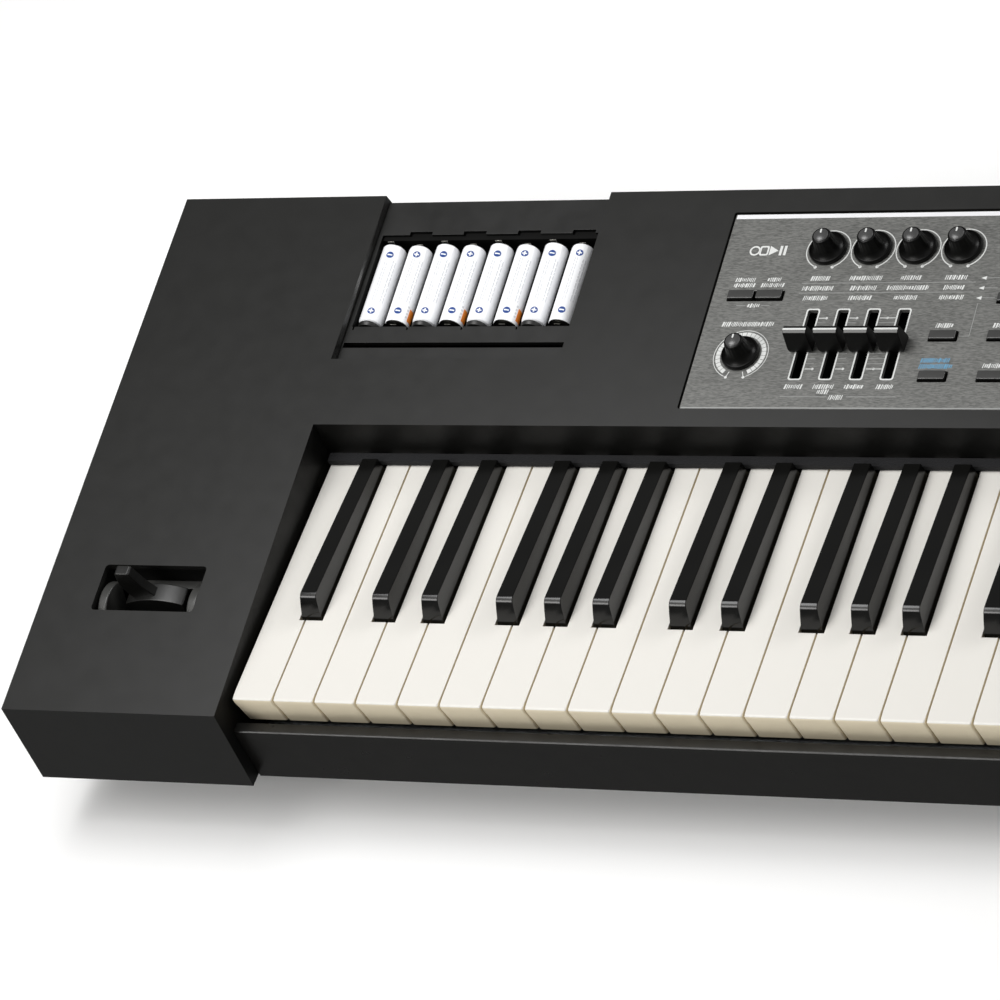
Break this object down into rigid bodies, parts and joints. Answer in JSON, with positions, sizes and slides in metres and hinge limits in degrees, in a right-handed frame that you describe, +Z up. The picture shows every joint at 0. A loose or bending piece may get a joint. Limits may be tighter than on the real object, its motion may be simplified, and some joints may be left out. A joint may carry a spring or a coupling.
{
  "type": "synthesizer",
  "caption": "Full-length stage synthesizer with weighted keys, a grey control panel with knobs and sliders, a pitch lever at the left and an open battery bay.",
  "frame": {"origin": "under the middle of the object's box, on the surface that it stands on", "axes": "+X along the keyboard from bass to treble, +Y from the player to the back, +Z up"},
  "size_m": [1.44, 0.345, 0.138],
  "materials": {
    "case_plastic": "satin moulded",
    "underside_plastic": "matt",
    "slip_plastic": "satin",
    "panel_metal": "brushed, anodised",
    "display_glass": "clear",
    "bay_plastic": "matt",
    "cell_sleeve": "printed sleeve",
    "chassis_steel": "plain",
    "key_felt": "felt",
    "circuit_board": "plain",
    "jack_panel_metal": "matt",
    "button_rubber": "matt",
    "bender_grey": "satin",
    "bender_black": "satin",
    "control_black": "satin",
    "switch_black": "satin",
    "foot_rubber": "matt",
    "natural_plastic": "ivory, satin",
    "sharp_plastic": "satin"
  },
  "bodies": {
    "case": {"left_end_block": "case_plastic", "right_end_block": "case_plastic", "rear_deck": "case_plastic", "bottom_case": "underside_plastic", "key_slip": "slip_plastic", "control_panel": "panel_metal", "display_window": "display_glass", "battery_tray": "bay_plastic", "battery_cells": "cell_sleeve", "keybed_chassis": "chassis_steel", "key_felt": "key_felt", "main_board": "circuit_board", "panel_board": "circuit_board", "rear_jack_panel": "jack_panel_metal", "tone_button_mat": "button_rubber", "pad_mat": "button_rubber", "foot_front_left": "foot_rubber", "foot_front_right": "foot_rubber", "foot_back_left": "foot_rubber", "foot_back_right": "foot_rubber"},
    "key_A0": {"key_A0": "natural_plastic"},
    "key_As0": {"key_As0": "sharp_plastic"},
    "key_B0": {"key_B0": "natural_plastic"},
    "key_C1": {"key_C1": "natural_plastic"},
    "key_Cs1": {"key_Cs1": "sharp_plastic"},
    "key_D1": {"key_D1": "natural_plastic"},
    "key_Ds1": {"key_Ds1": "sharp_plastic"},
    "key_E1": {"key_E1": "natural_plastic"},
    "key_F1": {"key_F1": "natural_plastic"},
    "key_Fs1": {"key_Fs1": "sharp_plastic"},
    "key_G1": {"key_G1": "natural_plastic"},
    "key_Gs1": {"key_Gs1": "sharp_plastic"},
    "naturals_A1_G3": {"naturals_A1_G3": "natural_plastic"},
    "sharps_A1_G3": {"sharps_A1_G3": "sharp_plastic"},
    "naturals_A3_G5": {"naturals_A3_G5": "natural_plastic"},
    "sharps_A3_G5": {"sharps_A3_G5": "sharp_plastic"},
    "naturals_A5_C8": {"naturals_A5_C8": "natural_plastic"},
    "sharps_A5_C8": {"sharps_A5_C8": "sharp_plastic"},
    "bender_cradle": {"bender_cradle": "bender_grey"},
    "bender_lever": {"bender_lever": "bender_black"},
    "sound_knob_1": {"sound_knob_1": "control_black"},
    "sound_knob_2": {"sound_knob_2": "control_black"},
    "sound_knob_3": {"sound_knob_3": "control_black"},
    "sound_knob_4": {"sound_knob_4": "control_black"},
    "volume_knob": {"volume_knob": "control_black"},
    "value_dial": {"value_dial": "control_black"},
    "level_slider_1": {"level_slider_1": "control_black"},
    "level_slider_2": {"level_slider_2": "control_black"},
    "level_slider_3": {"level_slider_3": "control_black"},
    "level_slider_4": {"level_slider_4": "control_black"},
    "mode_button_left": {"mode_button_left": "button_rubber"},
    "mode_button_right": {"mode_button_right": "button_rubber"},
    "select_button": {"select_button": "button_rubber"},
    "voice_button": {"voice_button": "button_rubber"},
    "utility_button_1": {"utility_button_1": "button_rubber"},
    "utility_button_2": {"utility_button_2": "button_rubber"},
    "utility_button_3": {"utility_button_3": "button_rubber"},
    "power_switch": {"power_switch": "switch_black"}
  },
  "joints": [
    {"name": "key_A0_press", "type": "hinge", "parent": "case", "child": "key_A0", "pos_m": [0, 0.0575, 0.08], "axis": [1, 0, 0], "range_deg": [0, 2.6], "stiffness_Nm_per_rad": 1, "springref_deg": -14.32},
    {"name": "key_As0_press", "type": "hinge", "parent": "case", "child": "key_As0", "pos_m": [0, 0.0575, 0.08], "axis": [1, 0, 0], "range_deg": [0, 3.1], "stiffness_Nm_per_rad": 1, "springref_deg": -14.32},
    {"name": "key_B0_press", "type": "hinge", "parent": "case", "child": "key_B0", "pos_m": [0, 0.0575, 0.08], "axis": [1, 0, 0], "range_deg": [0, 2.6], "stiffness_Nm_per_rad": 1, "springref_deg": -14.32},
    {"name": "key_C1_press", "type": "hinge", "parent": "case", "child": "key_C1", "pos_m": [0, 0.0575, 0.08], "axis": [1, 0, 0], "range_deg": [0, 2.6], "stiffness_Nm_per_rad": 1, "springref_deg": -14.32},
    {"name": "key_Cs1_press", "type": "hinge", "parent": "case", "child": "key_Cs1", "pos_m": [0, 0.0575, 0.08], "axis": [1, 0, 0], "range_deg": [0, 3.1], "stiffness_Nm_per_rad": 1, "springref_deg": -14.32},
    {"name": "key_D1_press", "type": "hinge", "parent": "case", "child": "key_D1", "pos_m": [0, 0.0575, 0.08], "axis": [1, 0, 0], "range_deg": [0, 2.6], "stiffness_Nm_per_rad": 1, "springref_deg": -14.32},
    {"name": "key_Ds1_press", "type": "hinge", "parent": "case", "child": "key_Ds1", "pos_m": [0, 0.0575, 0.08], "axis": [1, 0, 0], "range_deg": [0, 3.1], "stiffness_Nm_per_rad": 1, "springref_deg": -14.32},
    {"name": "key_E1_press", "type": "hinge", "parent": "case", "child": "key_E1", "pos_m": [0, 0.0575, 0.08], "axis": [1, 0, 0], "range_deg": [0, 2.6], "stiffness_Nm_per_rad": 1, "springref_deg": -14.32},
    {"name": "key_F1_press", "type": "hinge", "parent": "case", "child": "key_F1", "pos_m": [0, 0.0575, 0.08], "axis": [1, 0, 0], "range_deg": [0, 2.6], "stiffness_Nm_per_rad": 1, "springref_deg": -14.32},
    {"name": "key_Fs1_press", "type": "hinge", "parent": "case", "child": "key_Fs1", "pos_m": [0, 0.0575, 0.08], "axis": [1, 0, 0], "range_deg": [0, 3.1], "stiffness_Nm_per_rad": 1, "springref_deg": -14.32},
    {"name": "key_G1_press", "type": "hinge", "parent": "case", "child": "key_G1", "pos_m": [0, 0.0575, 0.08], "axis": [1, 0, 0], "range_deg": [0, 2.6], "stiffness_Nm_per_rad": 1, "springref_deg": -14.32},
    {"name": "key_Gs1_press", "type": "hinge", "parent": "case", "child": "key_Gs1", "pos_m": [0, 0.0575, 0.08], "axis": [1, 0, 0], "range_deg": [0, 3.1], "stiffness_Nm_per_rad": 1, "springref_deg": -14.32},
    {"name": "naturals_A1_G3_press", "type": "hinge", "parent": "case", "child": "naturals_A1_G3", "pos_m": [0, 0.0575, 0.08], "axis": [1, 0, 0], "range_deg": [0, 2.6], "stiffness_Nm_per_rad": 30, "springref_deg": -14.32},
    {"name": "sharps_A1_G3_press", "type": "hinge", "parent": "case", "child": "sharps_A1_G3", "pos_m": [0, 0.0575, 0.08], "axis": [1, 0, 0], "range_deg": [0, 3.1], "stiffness_Nm_per_rad": 10, "springref_deg": -14.32},
    {"name": "naturals_A3_G5_press", "type": "hinge", "parent": "case", "child": "naturals_A3_G5", "pos_m": [0, 0.0575, 0.08], "axis": [1, 0, 0], "range_deg": [0, 2.6], "stiffness_Nm_per_rad": 30, "springref_deg": -14.32},
    {"name": "sharps_A3_G5_press", "type": "hinge", "parent": "case", "child": "sharps_A3_G5", "pos_m": [0, 0.0575, 0.08], "axis": [1, 0, 0], "range_deg": [0, 3.1], "stiffness_Nm_per_rad": 10, "springref_deg": -14.32},
    {"name": "naturals_A5_C8_press", "type": "hinge", "parent": "case", "child": "naturals_A5_C8", "pos_m": [0, 0.0575, 0.08], "axis": [1, 0, 0], "range_deg": [0, 2.6], "stiffness_Nm_per_rad": 30, "springref_deg": -14.32},
    {"name": "sharps_A5_C8_press", "type": "hinge", "parent": "case", "child": "sharps_A5_C8", "pos_m": [0, 0.0575, 0.08], "axis": [1, 0, 0], "range_deg": [0, 3.1], "stiffness_Nm_per_rad": 10, "springref_deg": -14.32},
    {"name": "bender_tilt", "type": "hinge", "parent": "case", "child": "bender_cradle", "pos_m": [-0.65805, -0.0941, 0.08012], "axis": [-1, 0, 0], "range_deg": [0, 11], "stiffness_Nm_per_rad": 0.5, "springref_deg": -8.59},
    {"name": "bender_turn", "type": "hinge", "parent": "bender_cradle", "child": "bender_lever", "pos_m": [-0.65805, -0.09156, 0.05827], "axis": [0, 0.9933, 0.1152], "range_deg": [-11, 11], "stiffness_Nm_per_rad": 0.6},
    {"name": "sound_knob_1_turn", "type": "hinge", "parent": "case", "child": "sound_knob_1", "pos_m": [-0.3316, 0.11498, 0.12451], "axis": [0, 0.1152, -0.9933], "range_deg": [-150, 150]},
    {"name": "sound_knob_2_turn", "type": "hinge", "parent": "case", "child": "sound_knob_2", "pos_m": [-0.3071, 0.11498, 0.12451], "axis": [0, 0.1152, -0.9933], "range_deg": [-150, 150]},
    {"name": "sound_knob_3_turn", "type": "hinge", "parent": "case", "child": "sound_knob_3", "pos_m": [-0.2826, 0.11498, 0.12451], "axis": [0, 0.1152, -0.9933], "range_deg": [-150, 150]},
    {"name": "sound_knob_4_turn", "type": "hinge", "parent": "case", "child": "sound_knob_4", "pos_m": [-0.2581, 0.11498, 0.12451], "axis": [0, 0.1152, -0.9933], "range_deg": [-150, 150]},
    {"name": "volume_knob_turn", "type": "hinge", "parent": "case", "child": "volume_knob", "pos_m": [-0.3633, 0.05022, 0.117], "axis": [0, 0.1152, -0.9933], "range_deg": [-105, 195]},
    {"name": "value_dial_turn", "type": "hinge", "parent": "case", "child": "value_dial", "pos_m": [0.03, 0.06214, 0.11838], "axis": [0, 0.1152, -0.9933], "continuous": true},
    {"name": "level_slider_1_slide", "type": "slide", "parent": "case", "child": "level_slider_1", "axis": [0, 0.9933, 0.1152], "range_m": [-0.0168, 0.0188]},
    {"name": "level_slider_2_slide", "type": "slide", "parent": "case", "child": "level_slider_2", "axis": [0, 0.9933, 0.1152], "range_m": [-0.0168, 0.0188]},
    {"name": "level_slider_3_slide", "type": "slide", "parent": "case", "child": "level_slider_3", "axis": [0, 0.9933, 0.1152], "range_m": [-0.0168, 0.0188]},
    {"name": "level_slider_4_slide", "type": "slide", "parent": "case", "child": "level_slider_4", "axis": [0, 0.9933, 0.1152], "range_m": [-0.0168, 0.0188]},
    {"name": "mode_button_left_press", "type": "slide", "parent": "case", "child": "mode_button_left", "axis": [0, 0.1152, -0.9933], "range_m": [0, 0.001], "stiffness_N_per_m": 600, "springref_m": -0.001},
    {"name": "mode_button_right_press", "type": "slide", "parent": "case", "child": "mode_button_right", "axis": [0, 0.1152, -0.9933], "range_m": [0, 0.001], "stiffness_N_per_m": 600, "springref_m": -0.001},
    {"name": "select_button_press", "type": "slide", "parent": "case", "child": "select_button", "axis": [0, 0.1152, -0.9933], "range_m": [0, 0.001], "stiffness_N_per_m": 600, "springref_m": -0.001},
    {"name": "voice_button_press", "type": "slide", "parent": "case", "child": "voice_button", "axis": [0, 0.1152, -0.9933], "range_m": [0, 0.001], "stiffness_N_per_m": 600, "springref_m": -0.001},
    {"name": "utility_button_1_press", "type": "slide", "parent": "case", "child": "utility_button_1", "axis": [0, 0.1152, -0.9933], "range_m": [0, 0.001], "stiffness_N_per_m": 600, "springref_m": -0.001},
    {"name": "utility_button_2_press", "type": "slide", "parent": "case", "child": "utility_button_2", "axis": [0, 0.1152, -0.9933], "range_m": [0, 0.001], "stiffness_N_per_m": 600, "springref_m": -0.001},
    {"name": "utility_button_3_press", "type": "slide", "parent": "case", "child": "utility_button_3", "axis": [0, 0.1152, -0.9933], "range_m": [0, 0.001], "stiffness_N_per_m": 600, "springref_m": -0.001},
    {"name": "power_switch_rock", "type": "hinge", "parent": "case", "child": "power_switch", "pos_m": [0.325, 0.166, 0.075], "axis": [0, 0, 1], "range_deg": [0, 16]}
  ]
}
